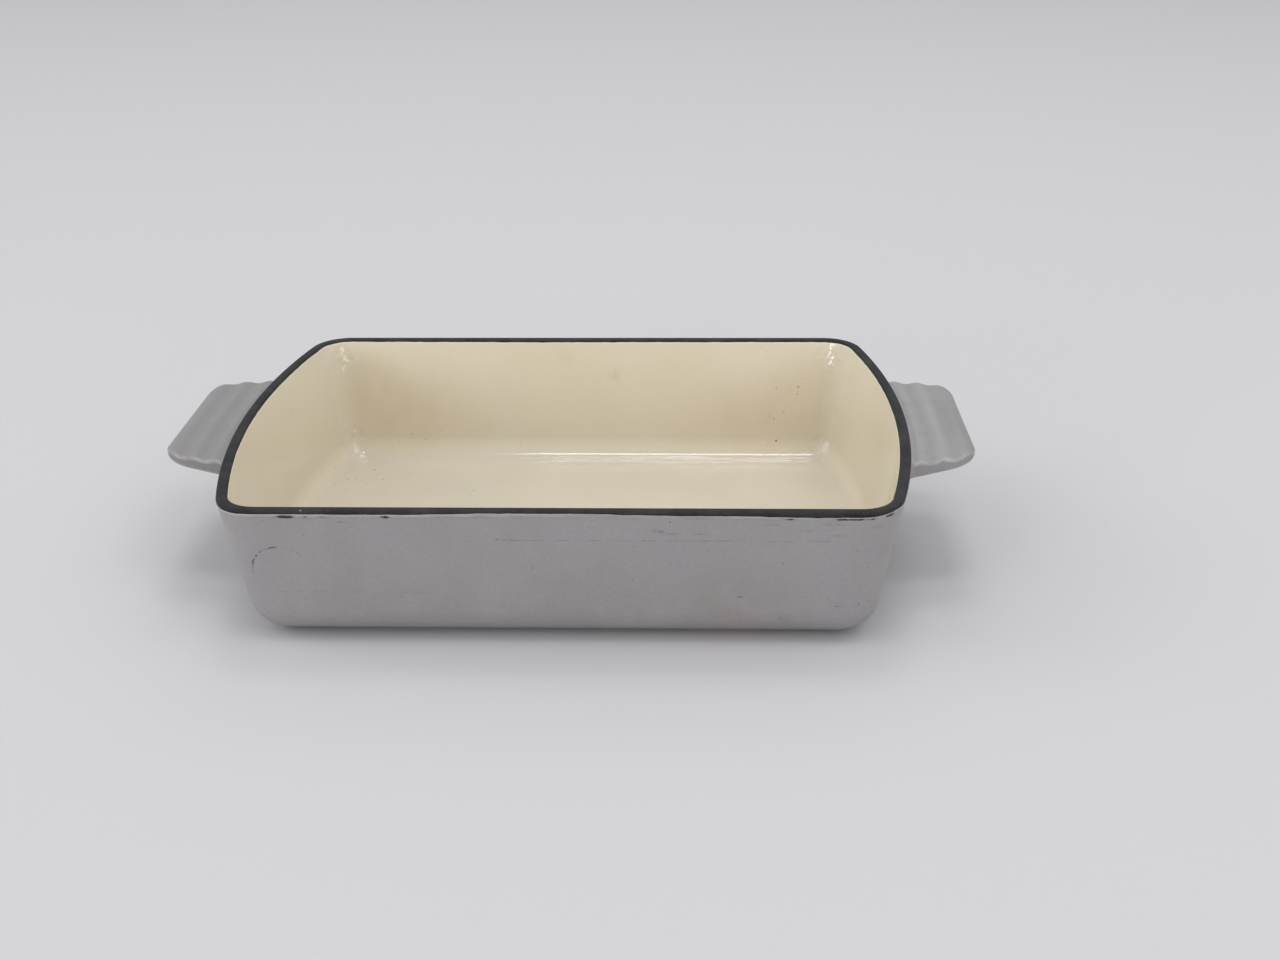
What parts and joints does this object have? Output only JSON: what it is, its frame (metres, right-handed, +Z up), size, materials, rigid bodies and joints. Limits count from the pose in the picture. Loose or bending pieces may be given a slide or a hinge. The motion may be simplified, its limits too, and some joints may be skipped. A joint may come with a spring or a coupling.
{
  "type": "roasting pan",
  "caption": "Rectangular enamelled cast-iron roasting pan with drafted walls, bowed short ends, a dark flat rim, a cream lining and ribbed tab handles.",
  "frame": {"origin": "middle of the flat base, on the surface that the pan stands on", "axes": "+X along the long sides through both handles, +Y across the pan, +Z up out of its mouth"},
  "size_m": [0.35, 0.2056, 0.065],
  "materials": {
    "cast_iron": "as cast, covered by enamel",
    "grey_enamel": "satin grey vitreous enamel, lightly worn",
    "cream_enamel": "glossy cream vitreous enamel, faintly stained",
    "charcoal_enamel": "matt charcoal vitreous enamel"
  },
  "bodies": {
    "root": {"iron_casting": "cast_iron", "outer_enamel": "grey_enamel", "base_enamel": "grey_enamel", "inner_enamel": "cream_enamel", "rim_enamel": "charcoal_enamel"}
  },
  "joints": []
}
